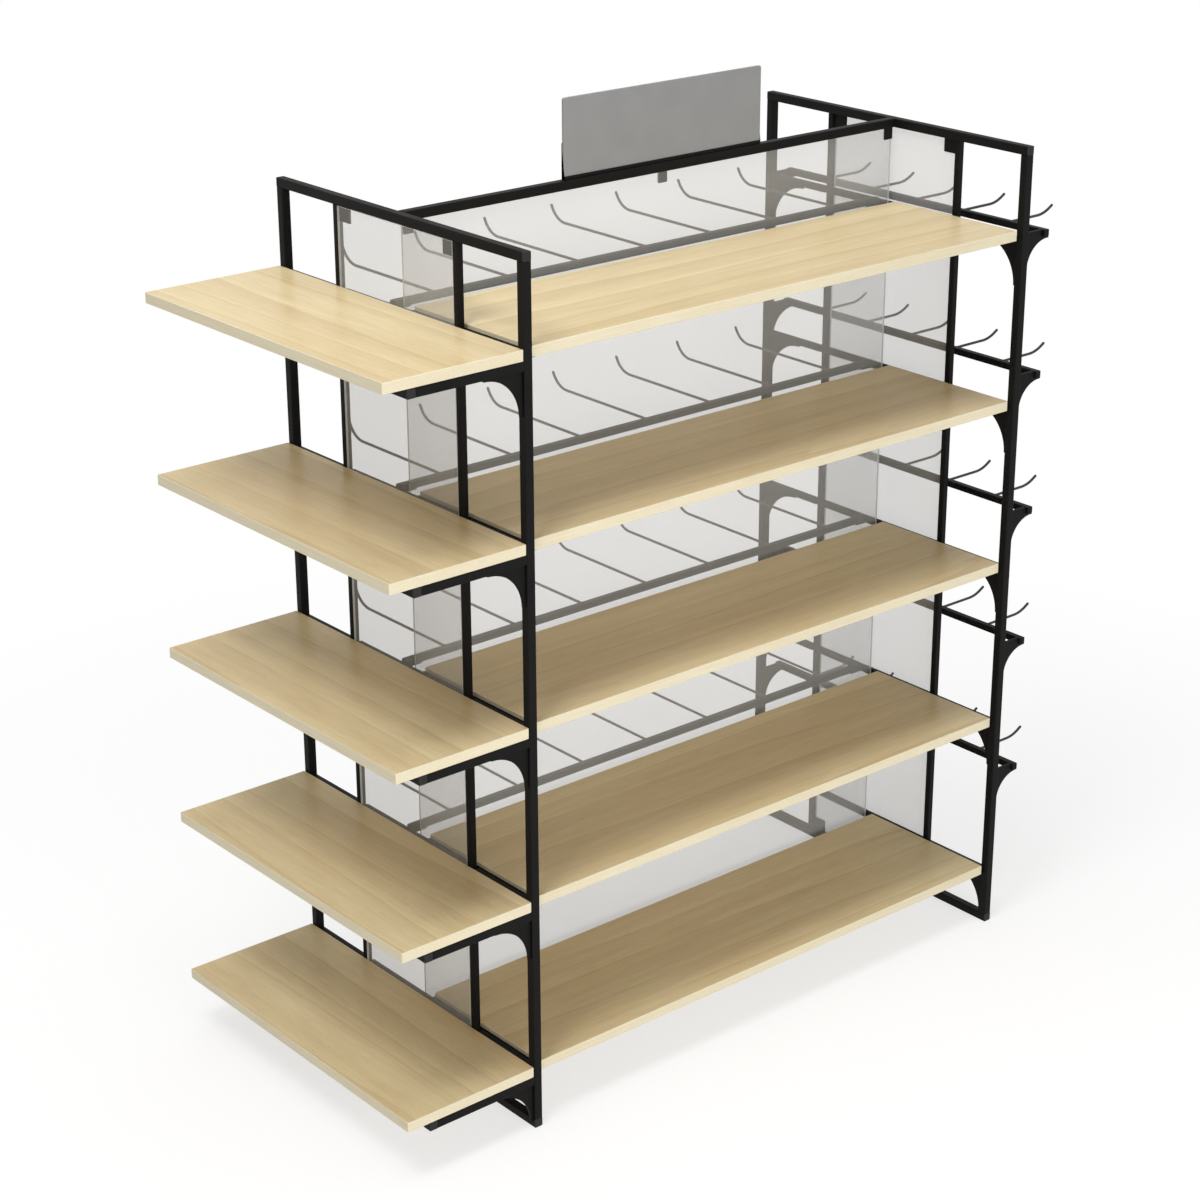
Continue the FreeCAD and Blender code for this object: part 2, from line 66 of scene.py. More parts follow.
# Floor: half its side, where its shadow starts to fade and where it is gone, and its tones.
FLOOR_HALF = 30.0
FADE_START = 0.9
FADE_STOP = 2.2
FLOOR_BOUNCE = (0.8, 0.8, 0.8, 1)
FLOOR_PALE = (0.42, 0.42, 0.42, 1)
FLOOR_GLOW = 0.68
WHITE = (1, 1, 1, 1)

# Rounding of the formed pieces.
TUBE_ROUNDING = 0.002
TUBE_END_ROUNDING = TUBE_ROUNDING / 8
BAR_ROUNDING = 0.001
BAR_END_ROUNDING = 0.0008
CAP_END_ROUNDING = 0.0011
PLATE_ROUNDING = 0.0007
BAND_ROUNDING = 0.001
BOARD_CORNER = 0.002
SHEET_CORNER = 0.0012
SHEET_ROUNDING = 0.0004
HEADER_CORNER = 0.004
HEADER_ROUNDING = 0.0008
PLATE_CORNER = 0.0012
CLIP_CORNER = 0.002
SHARP_ANGLE = math.radians(35)

# Points and rings on the rounded shapes.
CORNER_STEPS = 5
END_STEPS = 4
RIM_STEPS = 3
HOLLOW_STEPS = 25
WIRE_SIDES = 14
COLLAR_STEPS = 6
ARC_STEPS = 14
DOME_STEPS = 6

# Sizes of the steel plates and folded pieces that a node's box does not give.
PLATE_THICKNESS = 0.006
PLATE_LAND = 0.004
BAR_CLEARANCE = 0.0003
BRACKET_FLOOR = 0.005
BRACKET_LIP_RISE = 0.008
LEDGE_THICKNESS = 0.003
LEDGE_WIDTH = 0.018
SADDLE_WALL = 0.002
SADDLE_LENGTH = 0.030
CLIP_THICKNESS = 0.003
CLIP_SIZE = (0.020, 0.021)
TAB_SIZE = (0.030, 0.026)
HOLDER_WALL = 0.0015
HOLDER_LIP = 0.006

# Rounding of a folded section's corners as shares of its wall: the two outer bends, one rim, the two
# inner bends and the other rim. A rolled angle has one share for all its corners.
OUTER_BEND, RIM_EDGE, INNER_BEND = 1.1, 0.35, 0.15
FOLD_ROUNDING = np.repeat([OUTER_BEND, RIM_EDGE, INNER_BEND, RIM_EDGE], 2)
ANGLE_ROUNDING = 1 / 3

# Hook wire. The dome at its end stops just short of a quarter turn, and a tiny flat closes it.
WIRE_RADIUS = 0.0025
WELD_RADIUS = 0.0042
WELD_LENGTH = 0.003
DOME_TURN = 0.97 * math.pi / 2

# A hook's straight run, the reach and rise of its bend and its tip, and the hooks on one bar.
END_HOOK = (0.078, 0.032, 0.009, 0.010)
END_HOOK_COUNT = 5
BACK_HOOK = (0.226, 0.036, 0.021, 0.008)
BACK_HOOK_COUNT = 7

# Patterns: most of a noise lies between these two values. Grain and streaks are drawn out by these
# scales, and the grain is turned by an angle so that each level cuts other bands. The shares say how
# much of the wood's tone comes from its slow changes.
NOISE_LOW = 0.3
NOISE_HIGH = 0.7
GRAIN_STRETCH = 0.06
GRAIN_TURN = 0.42
STREAK_STRETCH = 0.03
VENEER_DRIFT_SHARE = 0.42
BAND_CLOUD_SHARE = 0.4

LEVELS = range(1, 6)
BACK_LEVELS = range(1, 5)
SIDES = ("left", "right")
SIGNS = (-1, 1)
AXES = {"X": 0, "Y": 1, "Z": 2}


def box_of(name):
    """Lowest and highest corner of a CAD node as arrays."""
    low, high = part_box(name)
    return np.array(low), np.array(high)


# Meshes


def rounded_ring(half_b, half_c, radius, inset):
    """Points of a rounded rectangle: four quarter circles about the corner centres, shrunk by the inset.

    inset is an array, and the result has one ring for each of its values.
    """
    turn = np.linspace(0, math.pi / 2, CORNER_STEPS)
    angle = (np.arange(4)[:, None] * math.pi / 2 + turn).ravel()
    sign_b = np.repeat([1, -1, -1, 1], CORNER_STEPS)
    sign_c = np.repeat([1, 1, -1, -1], CORNER_STEPS)
    centre = np.stack([sign_b * (half_b - radius), sign_c * (half_c - radius)], axis=1)
    spoke = np.stack([np.cos(angle), np.sin(angle)], axis=1)
    return centre + (radius - np.asarray(inset)[:, None, None]) * spoke


def rounded_stack(length, rounding, steps):
    """Stations along a length whose two ends are quarter rounds, and the inset of each station.

    At an angle a of the quarter round the station is rounding * (1 - cos a) from the end, and the
    inset is rounding * (1 - sin a).
    """
    a = np.linspace(0, math.pi / 2, steps)
    near = rounding * (1 - np.cos(a))
    inset = rounding * (1 - np.sin(a))
    return np.concatenate([near, length - near[::-1]]), np.concatenate([inset, inset[::-1]])


def bar_shell(axis, low, high, radius, end_rounding):
    """A straight bar or tube: rounded rectangles carried along one axis, with rounded ends."""
    a = AXES[axis]
    b, c = (a + 1) % 3, (a + 2) % 3
    low, high = np.asarray(low, float), np.asarray(high, float)
    middle, half = (low + high) / 2, (high - low) / 2
    stations, inset = rounded_stack(high[a] - low[a], end_rounding, END_STEPS)
    ring = rounded_ring(half[b], half[c], radius, inset)
    shell = np.empty(ring.shape[:2] + (3,))
    shell[..., a] = (low[a] + stations)[:, None]
    shell[..., b] = middle[b] + ring[..., 0]
    shell[..., c] = middle[c] + ring[..., 1]
    return shell


def soften(corners, reach):
    """Rounds the corners of an outline: each becomes a short parabola between its two sides.

    With s from 0 to 1, a corner c gives c + reach * (1 - s)^2 * back + reach * s^2 * ahead, where back
    and ahead are the unit steps from the corner to its neighbours.
    """
    corners = np.asarray(corners, float)
    back = np.roll(corners, 1, axis=0) - corners
    ahead = np.roll(corners, -1, axis=0) - corners
    back /= np.linalg.norm(back, axis=1, keepdims=True)
    ahead /= np.linalg.norm(ahead, axis=1, keepdims=True)
    s = np.linspace(0, 1, CORNER_STEPS)[None, :, None]
    reach = np.broadcast_to(reach, len(corners))[:, None, None]
    step = (1 - s) ** 2 * back[:, None] + s ** 2 * ahead[:, None]
    return (corners[:, None] + reach * step).reshape(-1, 2)


def hollow_outline(corners):
    """Outline of a plate with a hollow: straight sides, then a quarter circle from last corner to first.

    The circle's centre is straight below the last corner and level with the first one.
    """
    corners = np.array(corners)
    centre = np.array([corners[-1, 0], corners[0, 1]])
    radius = corners[-1, 1] - corners[0, 1]
    turn = np.linspace(0, math.pi / 2, HOLLOW_STEPS)
    hollow = centre + radius * np.stack([-np.sin(turn), np.cos(turn)], axis=1)
    sides = soften(corners, PLATE_CORNER)[CORNER_STEPS:-CORNER_STEPS]
    return np.concatenate([sides, hollow])


def plate_shell(axis, outline, start, stop):
    """A plate or folded section: an outline carried along one axis, with both rims rounded.

    outline is points x 2 on the two other axes, in the order X, Y, Z. Each ring is the outline moved
    inwards by the rim's inset, along the mean of its two edge normals.
    """
    a = AXES[axis]
    b, c = (a + 1) % 3, (a + 2) % 3
    flat = outline if b < c else outline[:, ::-1]
    ahead = np.roll(flat, -1, axis=0)
    if (flat[:, 0] * ahead[:, 1] - flat[:, 1] * ahead[:, 0]).sum() < 0:
        flat = flat[::-1]
    edge = np.roll(flat, -1, axis=0) - flat
    normal = np.stack([-edge[:, 1], edge[:, 0]], axis=1)
    normal /= np.linalg.norm(normal, axis=1, keepdims=True)
    inward = normal + np.roll(normal, 1, axis=0)
    inward /= (inward * normal).sum(axis=1, keepdims=True)
    stations, inset = rounded_stack(stop - start, PLATE_ROUNDING, RIM_STEPS)
    ring = flat + inset[:, None, None] * inward
    shell = np.empty(ring.shape[:2] + (3,))
    shell[..., a] = (start + stations)[:, None]
    shell[..., b] = ring[..., 0]
    shell[..., c] = ring[..., 1]
    return shell


def wire_shell(straight, reach, rise, tip):
    """One hook in the plane of its run u and height v, as rings of (u, v, sideways).

    The path is a straight run, an arc tangent to it with the given reach and rise, and a straight tip.
    A circle is carried along the path; its radius starts as a weld collar that falls off with the
    square of the distance from the bar, and ends in a half-sphere, as the root of 1 - t squared.
    """
    radius = (reach ** 2 + rise ** 2) / (2 * rise)
    turn = 2 * math.atan2(rise, reach)
    root = np.linspace(0, WELD_LENGTH, COLLAR_STEPS)
    bend = np.linspace(0, turn, ARC_STEPS)
    dome = WIRE_RADIUS * np.sin(np.linspace(0, DOME_TURN, DOME_STEPS))
    end = tip - WIRE_RADIUS
    last_u = straight + reach
    u = np.concatenate([root, straight + radius * np.sin(bend), last_u + (end + dome) * math.cos(turn)])
    v = np.concatenate([0 * root, radius * (1 - np.cos(bend)), rise + (end + dome) * math.sin(turn)])
    slope = np.concatenate([0 * root, bend, np.full(DOME_STEPS, turn)])[:, None]
    size = np.concatenate([
        WIRE_RADIUS + (WELD_RADIUS - WIRE_RADIUS) * (1 - root / WELD_LENGTH) ** 2,
        np.full(ARC_STEPS, WIRE_RADIUS),
        np.sqrt(WIRE_RADIUS ** 2 - dome ** 2),
    ])[:, None]
    around = np.linspace(0, 2 * math.pi, WIRE_SIDES, endpoint=False)
    out = size * np.cos(around)
    side = size * np.sin(around)
    return np.stack([u[:, None] - out * np.sin(slope), v[:, None] + out * np.cos(slope), side], axis=-1)


def ring_faces(shells, rings, points):
    """Corner numbers of the quads between neighbouring rings and of the two end faces of each shell."""
    first = (np.arange(shells) * rings * points)[:, None, None]
    row = (np.arange(rings - 1) * points)[None, :, None]
    here = np.arange(points)[None, None, :]
    ahead = (here + 1) % points
    base = first + row
    quads = np.stack(
        [base + here, base + ahead, base + points + ahead, base + points + here], axis=-1)
    starts = first[:, 0] + here[0, :, ::-1]
    ends = first[:, 0] + (rings - 1) * points + here[0]
    return quads.reshape(-1, 4), np.concatenate([starts, ends])


def make_piece(name, shells, materials, end_slot=0):
    """A mesh object from shells of rings, an array of shells x rings x points x 3.

    The end faces take the material slot end_slot.
    """
    shells = np.asarray(shells)
    quads, ends = ring_faces(*shells.shape[:3])
    mesh = bpy.data.meshes.new(name)
    mesh.from_pydata(shells.reshape(-1, 3).tolist(), [], quads.tolist() + ends.tolist())
    slots = np.zeros(len(mesh.polygons), np.int32)
    slots[len(quads):] = end_slot
    for material in materials:
        mesh.materials.append(material)
    mesh.polygons.foreach_set("material_index", slots)
    mesh.polygons.foreach_set("use_smooth", np.ones(len(mesh.polygons), bool))
    mesh.set_sharp_from_angle(angle=SHARP_ANGLE)
    mesh.update()
    piece = bpy.data.objects.new(name, mesh)
    bpy.context.scene.collection.objects.link(piece)
    flat = piece.modifiers.new("flat_faces", "WEIGHTED_NORMAL")
    flat.keep_sharp = True
    return piece


def dress(piece, body, slot, *replaced):
    """Puts a piece on its body and hides the CAD nodes that it stands for. Its slot is not used."""
    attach(piece, body)
    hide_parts(*replaced)


# Materials


def new_material(name):
    """A new node material and its principled shader."""
    material = bpy.data.materials.new(name)
    material.use_nodes = True
    return material, material.node_tree.nodes["Principled BSDF"]


def add_node(owner, kind, settings=None, **inputs):
    """A node of that kind in a material or world, with its settings and inputs.

    An input is given by its name, or by its number as in i0. It is set to a value or linked to a socket.
    """
    tree = owner.node_tree
    node = tree.nodes.new(kind)
    for key, value in (settings or {}).items():
        setattr(node, key, value)
    for key, value in inputs.items():
        numbered = key[0] == "i" and key[1:].isdigit()
        socket = node.inputs[int(key[1:]) if numbered else key]
        if isinstance(value, bpy.types.NodeSocket):
            tree.links.new(value, socket)
        else:
            socket.default_value = value
    return node


def link(owner, socket, target):
    """Links an output to an input."""
    owner.node_tree.links.new(socket, target)


def on_axis(axis, value, others):
    """Three numbers: the value on one axis, and another on the two other axes."""
    return tuple(value if name == axis else others for name in AXES)


def object_point(material, scale=(1, 1, 1), turn=(0, 0, 0)):
    """The surface point in Object coordinates, stretched by a scale on each axis and then turned."""
    coordinate = add_node(material, "ShaderNodeTexCoord")
    mapping = add_node(
        material, "ShaderNodeMapping", i0=coordinate.outputs["Object"], i2=turn, i3=scale)
    return mapping.outputs[0]


def noise(material, point, scale, detail, roughness=0.5):
    """Noise from 0 to 1 at a point."""
    node = add_node(
        material, "ShaderNodeTexNoise", Vector=point, Scale=scale, Detail=detail, Roughness=roughness)
    return node.outputs[0]


def spread(owner, value, low, high, start=NOISE_LOW, stop=NOISE_HIGH):
    """Carries a value from the range start..stop over to low..high."""
    node = add_node(owner, "ShaderNodeMapRange", i0=value, i1=start, i2=stop, i3=low, i4=high)
    return node.outputs[0]


def ramp(material, value, *stops):
    """A colour from a value; a stop is (position, colour)."""
    node = add_node(material, "ShaderNodeValToRGB", i0=value)
    elements = node.color_ramp.elements
    while len(elements) < len(stops):
        elements.new(0.5)
    for element, (position, colour) in zip(elements, stops):
        element.position = position
        element.color = (*colour, 1)
    return node.outputs[0]


def shade(material, value, dark, light):
    """A colour from a noise: dark at its low values and light at its high ones."""
    return ramp(material, value, (NOISE_LOW, dark), (NOISE_HIGH, light))


def blend_colours(material, share, first, second, kind="MIX"):
    """Mixes two colours, each a value or a socket."""
    node = add_node(
        material, "ShaderNodeMix", {"data_type": "RGBA", "blend_type": kind},
        i0=share, i6=first, i7=second)
    return node.outputs[2]


def bump(material, height, strength, distance):
    """A bumped normal from a height."""
    node = add_node(material, "ShaderNodeBump", Strength=strength, Distance=distance, Height=height)
    return node.outputs[0]


def powder_coat():
    """Matt black powder coat: fine orange peel, cloudy shade and uneven gloss."""
    material, shader = new_material("powder_coat")
    point = object_point(material)
    peel = noise(material, point, scale=900.0, detail=3.0)
    cloud = noise(material, point, scale=11.0, detail=3.0)
    colour = shade(material, cloud, dark=(0.0050, 0.0047, 0.0044), light=(0.0085, 0.0080, 0.0076))
    link(material, colour, shader.inputs["Base Color"])
    link(material, spread(material, cloud, low=0.52, high=0.62), shader.inputs["Roughness"])
    link(material, bump(material, peel, strength=0.12, distance=0.0003), shader.inputs["Normal"])
    shader.inputs["Specular IOR Level"].default_value = 0.10
    return material


def cap_plastic():
    """Moulded black plastic with a fine spark-eroded grain."""
    material, shader = new_material("cap_plastic")
    point = object_point(material)
    grain = noise(material, point, scale=2200.0, detail=2.0)
    colour = ramp(material, grain, (0.35, (0.009, 0.009, 0.009)), (0.65, (0.017, 0.0165, 0.016)))
    link(material, colour, shader.inputs["Base Color"])
    link(material, bump(material, grain, strength=0.2, distance=0.0002), shader.inputs["Normal"])
    link(material, spread(material, grain, low=0.55, high=0.68), shader.inputs["Roughness"])
    shader.inputs["Specular IOR Level"].default_value = 0.3
    return material


def hook_wire():
    """Drawn wire with a satin dark coat, faintly mottled in shade and gloss."""
    material, shader = new_material("hook_wire")
    point = object_point(material)
    mottle = noise(material, point, scale=320.0, detail=3.0)
    colour = shade(material, mottle, dark=(0.012, 0.0118, 0.0115), light=(0.024, 0.0236, 0.023))
    link(material, colour, shader.inputs["Base Color"])
    link(material, spread(material, mottle, low=0.26, high=0.4), shader.inputs["Roughness"])
    shader.inputs["Specular IOR Level"].default_value = 0.4
    return material


def maple_veneer(name, along):
    """Pale maple veneer: growth bands, soft figure, fine fibres and pores, drawn out along one axis.

    The figure and the slow drift of tone are mixed, and the bands, fibres and pores multiply the mix.
    """
    material, shader = new_material(name)
    point = object_point(
        material, on_axis(along, GRAIN_STRETCH, others=1.0), on_axis(along, GRAIN_TURN, others=0))
    drift = noise(material, object_point(material), scale=3.2, detail=2.0)
    figure = noise(material, point, scale=26.0, detail=4.0, roughness=0.55)
    fibre = noise(material, point, scale=210.0, detail=3.0, roughness=0.6)
    pore = noise(material, point, scale=620.0, detail=1.0)
    growth = add_node(
        material, "ShaderNodeTexWave",
        {"bands_direction": {"X": "Y", "Y": "X"}[along], "wave_profile": "SAW"},
        Vector=point, Scale=5.0, Distortion=9.0, Detail=2.0, **{"Detail Scale": 1.4})
    figure_tone = ramp(
        material, figure,
        (0.30, (0.70, 0.535, 0.29)), (0.5, (0.79, 0.64, 0.375)), (0.70, (0.85, 0.715, 0.445)))
    drift_tone = shade(material, drift, dark=(0.76, 0.59, 0.33), light=(0.85, 0.72, 0.45))
    tone = blend_colours(material, VENEER_DRIFT_SHARE, figure_tone, drift_tone)
    tints = (
        ramp(material, growth.outputs[1],
             (0.0, (1.03, 1.03, 1.02)), (0.8, (0.97, 0.955, 0.925)), (1.0, (0.92, 0.885, 0.82))),
        shade(material, fibre, dark=(0.95, 0.94, 0.92), light=(1.05, 1.05, 1.05)),
        ramp(material, pore, (0.22, (0.86, 0.83, 0.78)), (0.34, (1, 1, 1))),
    )
    for tint in tints:
        tone = blend_colours(material, 1.0, tone, tint, "MULTIPLY")
    link(material, tone, shader.inputs["Base Color"])
    link(material, spread(material, figure, low=0.30, high=0.40), shader.inputs["Roughness"])
    link(material, bump(material, fibre, strength=0.05, distance=0.0002), shader.inputs["Normal"])
    shader.inputs["Specular IOR Level"].default_value = 0.15
    return material


def edge_band(name, along):
    """Pale wood edging with faint streaks along the band."""
    material, shader = new_material(name)
    drawn_out = object_point(material, on_axis(along, STREAK_STRETCH, others=1.0))
    streak = noise(material, drawn_out, scale=330.0, detail=3.0, roughness=0.6)
    cloud = noise(material, object_point(material), scale=7.0, detail=2.0)
    tone = blend_colours(
        material, BAND_CLOUD_SHARE,
        shade(material, streak, dark=(0.83, 0.725, 0.50), light=(0.94, 0.855, 0.63)),
        shade(material, cloud, dark=(0.85, 0.745, 0.52), light=(0.93, 0.845, 0.62)))
    link(material, tone, shader.inputs["Base Color"])
    link(material, spread(material, streak, low=0.36, high=0.46), shader.inputs["Roughness"])
    shader.inputs["Specular IOR Level"].default_value = 0.2
    return material


def frosted_sheet():
    """Satin milky sheet: each of its two faces is a pale veil over a quarter, and clear for the rest."""
    material, shader = new_material("frosted_sheet")
    point = object_point(material)
    cloud = noise(material, point, scale=4.0, detail=2.0)
    grain = noise(material, point, scale=1500.0, detail=1.0)
    colour = shade(material, cloud, dark=(0.62, 0.62, 0.61), light=(0.68, 0.68, 0.67))
    link(material, colour, shader.inputs["Base Color"])
    link(material, spread(material, cloud, low=0.34, high=0.44), shader.inputs["Roughness"])
    link(material, bump(material, grain, strength=0.08, distance=0.0001), shader.inputs["Normal"])
    shader.inputs["Alpha"].default_value = 0.26
    shader.inputs["Specular IOR Level"].default_value = 0.3
    return material


def cut_edge():
    """Sawn rim of a frosted sheet: milky, lighter than the faces, with a fine mottle."""
    material, shader = new_material("sheet_rim")
    mottle = noise(material, object_point(material), scale=700.0, detail=2.0)
    colour = shade(material, mottle, dark=(0.66, 0.67, 0.665), light=(0.76, 0.77, 0.765))
    link(material, colour, shader.inputs["Base Color"])
    link(material, spread(material, mottle, low=0.42, high=0.58), shader.inputs["Roughness"])
    shader.inputs["Alpha"].default_value = 0.75
    return material


def grey_board():
    """Plain grey plastic board, satin, with a faint mottle."""
    material, shader = new_material("grey_board")
    point = object_point(material)
    mottle = noise(material, point, scale=16.0, detail=3.0)
    grain = noise(material, point, scale=1200.0, detail=2.0)
    colour = shade(material, mottle, dark=(0.268, 0.271, 0.276), light=(0.292, 0.295, 0.300))
    link(material, colour, shader.inputs["Base Color"])
    link(material, spread(material, mottle, low=0.45, high=0.55), shader.inputs["Roughness"])
    link(material, bump(material, grain, strength=0.06, distance=0.0002), shader.inputs["Normal"])
    return material


steel = powder_coat()
plastic = cap_plastic()
wire = hook_wire()
veneer = {axis: maple_veneer("maple_veneer_" + axis.lower(), axis) for axis in "XY"}
band = {axis: edge_band("edge_band_" + axis.lower(), axis) for axis in "XY"}
frosted = frosted_sheet()
sheet_rim = cut_edge()
grey = grey_board()

# Pieces

# Sizes read from the frame.
board_low = [box_of("front_shelf_%d" % level)[0][2] for level in LEVELS]
tube = np.ptp(box_of("left_front_upright"), axis=0)[0]
inner_tube = np.ptp(box_of("left_inner_uprights"), axis=0)[0]


def steel_piece(name, shells, node):
    """Coated steel tubes, plates or folded pieces on the frame, in place of a CAD node."""
    dress(make_piece(name, shells, [steel]), "frame", "black_steel", node)


def steel_tubes(name, spans, node):
    """Welded square tubes on the frame; a span is (axis, low corner, high corner)."""
    steel_piece(name, [bar_shell(*span, TUBE_ROUNDING, TUBE_END_ROUNDING) for span in spans], node)


def end_frame_tubes():
    """Uprights and rails of the two end frames and the centre rails, each over its CAD node."""
    for side in SIDES:
        for face in ("front", "back"):
            node = "%s_%s_upright" % (side, face)
            steel_tubes(node + "_tube", [("Z", *box_of(node))], node)
        node = side + "_inner_uprights"
        low, high = box_of(node)
        near, far = high.copy(), low.copy()
        near[1] = low[1] + inner_tube
        far[1] = high[1] - inner_tube
        steel_tubes(node + "_tubes", [("Z", low, near), ("Z", far, high)], node)
        for level in ("top", "bottom"):
            node = "%s_%s_rail" % (side, level)
            steel_tubes(node + "_tube", [("Y", *box_of(node))], node)
    for level in ("top", "bottom"):
        node = "centre_%s_rail" % level
        steel_tubes(node + "_tube", [("X", *box_of(node))], node)


def crossbar_tubes():
    """Crossbars at every board level, in three lengths between the uprights."""
    low, high = box_of("crossbars")
    inner_low, inner_high = box_of("left_inner_uprights")
    lengths = (
        (low[1], inner_low[1]),
        (inner_low[1] + inner_tube, inner_high[1] - inner_tube),
        (inner_high[1], high[1]),
    )
    spans = [
        ("Y", (x, near, z), (x + inner_tube, far, z + inner_tube))
        for x in (low[0], high[0] - inner_tube) for z in board_low for near, far in lengths
    ]
    steel_tubes("crossbar_tubes", spans, "crossbars")


def arm_tubes():
    """Arms and outer rails under the end boards."""
    low, high = box_of("end_arms")
    spans = [
        ("X", (low[0], y, z - tube), (high[0], y + tube, z))
        for y in (low[1], high[1] - tube) for z in board_low
    ]
    steel_tubes("end_arm_tubes", spans, "end_arms")
    low, high = box_of("end_arm_rails")
    spans = [("Y", (low[0], low[1], z - tube), (high[0], high[1], z)) for z in board_low]
    steel_tubes("end_arm_rail_tubes", spans, "end_arm_rails")


def rail_caps(name, node, rail, x_starts, z_starts):
    """Plastic end caps: thin rounded plates on both ends of a group of rails, let in a little."""
    low, high = box_of(node)
    rail_low, rail_high = box_of(rail)
    ends = (
        (low[1], rail_low[1] + CAP_END_ROUNDING),
        (rail_high[1] - CAP_END_ROUNDING, high[1]),
    )
    shells = [
        bar_shell("Y", (x, near, z), (x + tube, far, z + tube), TUBE_ROUNDING, CAP_END_ROUNDING)
        for x in x_starts for z in z_starts for near, far in ends
    ]
    dress(make_piece(name, shells, [plastic]), "frame", "black_plastic", node)


def caps():
    """Caps of the end frames' top and bottom rails, and of the outer rails under the end boards."""
    rails = ("left_top_rail", "right_top_rail", "left_bottom_rail", "end_arm_rails")
    left_top, right_top, left_bottom, arm_rails = (box_of(rail)[0] for rail in rails)
    rail_caps("frame_caps", "frame_rail_caps", "left_top_rail",
              (left_top[0], right_top[0]), (left_bottom[2], left_top[2]))
    rail_caps("arm_caps", "arm_rail_caps", "end_arm_rails",
              (arm_rails[0],), [z - tube for z in board_low])


def boards():
    """Veneered boards: a rounded plan outline carried up the edge band, closed by the veneer faces."""
    for kind, axis in (("front", "X"), ("end", "Y")):
        for level in LEVELS:
            node = "%s_shelf_%d" % (kind, level)
            shell = bar_shell("Z", *box_of(node), BOARD_CORNER, BAND_ROUNDING)
            piece = make_piece(
                "%s_board_%d" % (kind, level), [shell], [band[axis], veneer[axis]], end_slot=1)
            dress(piece, node, "pale_wood", node)


def hook_bars():
    """Solid square bars with slightly rounded edges."""
    for kind, axis, levels in (("end", "Y", LEVELS), ("back", "X", BACK_LEVELS)):
        for level in levels:
            node = "%s_hook_bar_%d" % (kind, level)
            body = "%s_bar_%d" % (kind, level)
            shell = bar_shell(axis, *box_of(node), BAR_ROUNDING, BAR_END_ROUNDING)
            dress(make_piece(body, [shell], [steel]), body, "black_steel", node)


def hooks():
    """Round wire hooks with weld collars, spread evenly along each bar.

    The end hooks run along X and the back hooks along Y. The sideways sign keeps their faces outward.
    """
    kinds = (
        ("end", LEVELS, "X", "Y", -1, END_HOOK_COUNT, END_HOOK),
        ("back", BACK_LEVELS, "Y", "X", 1, BACK_HOOK_COUNT, BACK_HOOK),
    )
    for kind, levels, run_axis, bar_axis, sign, count, shape in kinds:
        run, along = AXES[run_axis], AXES[bar_axis]
        flat = wire_shell(*shape)
        for level in levels:
            node = "%s_hooks_%d" % (kind, level)
            low, high = box_of(node)
            bar_low, bar_high = box_of("%s_hook_bar_%d" % (kind, level))
            half = (high - low)[along] / 2 - WIRE_RADIUS
            places = (low + high)[along] / 2 + np.linspace(-half, half, count)
            shells = np.empty((count,) + flat.shape)
            shells[..., run] = low[run] + flat[..., 0]
            shells[..., along] = places[:, None, None] + sign * flat[..., 2]
            shells[..., 2] = (bar_low + bar_high)[2] / 2 + flat[..., 1]
            piece = make_piece("%s_wires_%d" % (kind, level), shells, [wire])
            dress(piece, "%s_bar_%d" % (kind, level), "dark_wire", node)


def gusset_outline(reach):
    """A gusset from its corner: sides of the given reach, and the hollow between two short lands."""
    return hollow_outline(
        [(PLATE_LAND, -reach), (0, -reach), (0, 0), (reach, 0), (reach, -PLATE_LAND)])


def gussets():
    """Corner plates with a hollow edge, under the crossbars and under the end arms."""
    low, high = box_of("frame_gussets")
    outline = gusset_outline(board_low[-1] - low[2])
    shells = [
        plate_shell("X", outline * (-sign, 1) + (sign * high[1], z), x, x + PLATE_THICKNESS)
        for x in (low[0], high[0] - PLATE_THICKNESS) for sign in SIGNS for z in board_low
    ]
    steel_piece("frame_gusset_plates", shells, "frame_gussets")

    low, high = box_of("end_arm_gussets")
    outline = gusset_outline(high[0] - low[0])
    shells = [
        plate_shell("Y", outline * (-1, 1) + (high[0], z - tube), y, y + PLATE_THICKNESS)
        for y in (low[1], high[1] - PLATE_THICKNESS) for z in board_low
    ]
    steel_piece("arm_gusset_plates", shells, "end_arm_gussets")


def bracket_plates():
    """Hook bar brackets: a notch for the bar between the upright and a lip, over a hollow edge."""
    low, high = box_of("hook_brackets")
    seats = [box_of("end_hook_bar_%d" % level)[0][2] for level in LEVELS]
    bar_low, bar_high = box_of("end_hook_bar_1")
    near = bar_low[0] - BAR_CLEARANCE - low[0]
    far = bar_high[0] + BAR_CLEARANCE - low[0]
    nose = high[0] - low[0]
    back = high[2] - seats[0]
    foot = low[2] - seats[-1]
    tip = foot + PLATE_LAND
    outline = hollow_outline([
        (PLATE_LAND, tip), (PLATE_LAND, foot), (0, foot), (0, back), (near, back), (near, 0), (far, 0),
        (far, BRACKET_LIP_RISE), (nose, BRACKET_LIP_RISE), (nose, -BRACKET_FLOOR),
        (PLATE_LAND - BRACKET_FLOOR - tip, -BRACKET_FLOOR),
    ])
    shells = [
        plate_shell("Y", outline + (low[0], z), y, y + PLATE_THICKNESS)
        for y in (low[1], high[1] - PLATE_THICKNESS) for z in seats
    ]
    steel_piece("bracket_plates", shells, "hook_brackets")


